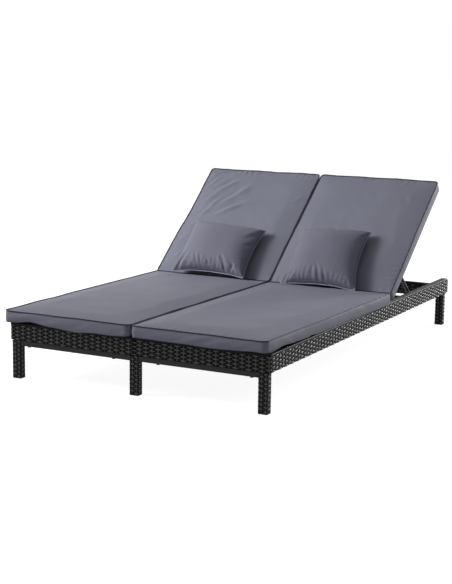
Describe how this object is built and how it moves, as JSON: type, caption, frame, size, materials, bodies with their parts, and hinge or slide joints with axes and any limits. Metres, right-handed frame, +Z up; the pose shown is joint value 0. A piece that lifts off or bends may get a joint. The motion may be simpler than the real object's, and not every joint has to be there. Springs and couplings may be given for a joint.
{
  "type": "double chaise lounger",
  "caption": "Low double outdoor chaise: woven rails and legs, long padded seats, and backrests that recline on bent props over notched racks, with loose pillows.",
  "frame": {"origin": "on the floor under the middle of the woven frame", "axes": "+Y from the foot end to the head end, +X to the right seen from the foot, +Z up"},
  "size_m": [1.18, 1.991, 0.7275],
  "materials": {
    "wicker": "black woven resin strands with a soft shine",
    "frame_steel": "black powder coat",
    "zinc_fastener": "dull zinc plate",
    "foot_plastic": "moulded, fine grain",
    "cushion_cloth": "plain woven grey polyester with dark piping",
    "pillow_cloth": "plain woven grey polyester"
  },
  "bodies": {
    "base": {"side_rail_weave_left": "wicker", "foot_rail_weave_left": "wicker", "head_rail_weave_left": "wicker", "side_rail_frame_left": "frame_steel", "foot_rail_frame_left": "frame_steel", "head_rail_frame_left": "frame_steel", "centre_beam_left": "frame_steel", "slat_ledge_left": "frame_steel", "seat_slats_left": "frame_steel", "hinge_crossmember_left": "frame_steel", "rack_outer_left": "frame_steel", "rack_inner_left": "frame_steel", "seat_pad_left": "cushion_cloth", "side_rail_weave_right": "wicker", "foot_rail_weave_right": "wicker", "head_rail_weave_right": "wicker", "side_rail_frame_right": "frame_steel", "foot_rail_frame_right": "frame_steel", "head_rail_frame_right": "frame_steel", "centre_beam_right": "frame_steel", "slat_ledge_right": "frame_steel", "seat_slats_right": "frame_steel", "hinge_crossmember_right": "frame_steel", "rack_outer_right": "frame_steel", "rack_inner_right": "frame_steel", "seat_pad_right": "cushion_cloth", "leg_tube_foot_left": "frame_steel", "leg_weave_foot_left": "wicker", "leg_tube_foot_centre": "frame_steel", "leg_weave_foot_centre": "wicker", "leg_tube_foot_right": "frame_steel", "leg_weave_foot_right": "wicker", "leg_tube_head_left": "frame_steel", "leg_weave_head_left": "wicker", "leg_tube_head_centre": "frame_steel", "leg_weave_head_centre": "wicker", "leg_tube_head_right": "frame_steel", "leg_weave_head_right": "wicker", "foot_crossbar": "frame_steel", "head_crossbar": "frame_steel", "foot_caps": "foot_plastic", "crossbar_spacers": "zinc_fastener", "crossbar_bolts": "zinc_fastener", "centre_bolts": "zinc_fastener", "hinge_bolts": "zinc_fastener"},
    "backrest_left": {"backrest_outer_tube_left": "frame_steel", "backrest_inner_tube_left": "frame_steel", "backrest_slats_left": "frame_steel", "prop_bolts_left": "zinc_fastener", "back_pad_left": "cushion_cloth", "pillow_left": "pillow_cloth"},
    "prop_left": {"prop_frame_left": "frame_steel"},
    "backrest_right": {"backrest_outer_tube_right": "frame_steel", "backrest_inner_tube_right": "frame_steel", "backrest_slats_right": "frame_steel", "prop_bolts_right": "zinc_fastener", "back_pad_right": "cushion_cloth", "pillow_right": "pillow_cloth"},
    "prop_right": {"prop_frame_right": "frame_steel"}
  },
  "joints": [
    {"name": "backrest_left_recline", "type": "hinge", "parent": "base", "child": "backrest_left", "pos_m": [-0.287, 0.20536, 0.2165], "axis": [1, 0, 0], "range_deg": [-39.2, 0]},
    {"name": "prop_left_swing", "type": "hinge", "parent": "backrest_left", "child": "prop_left", "pos_m": [-0.287, 0.39331, 0.36978], "axis": [1, 0, 0], "range_deg": [0, 73.01]},
    {"name": "backrest_right_recline", "type": "hinge", "parent": "base", "child": "backrest_right", "pos_m": [0.287, 0.20536, 0.2165], "axis": [1, 0, 0], "range_deg": [-39.2, 0]},
    {"name": "prop_right_swing", "type": "hinge", "parent": "backrest_right", "child": "prop_right", "pos_m": [0.287, 0.39331, 0.36978], "axis": [1, 0, 0], "range_deg": [0, 73.01]}
  ],
  "couplings": [
    {"joint": "prop_left_swing", "follows": "backrest_left_recline", "ratio": -1.8625},
    {"joint": "prop_right_swing", "follows": "backrest_right_recline", "ratio": -1.8625}
  ]
}
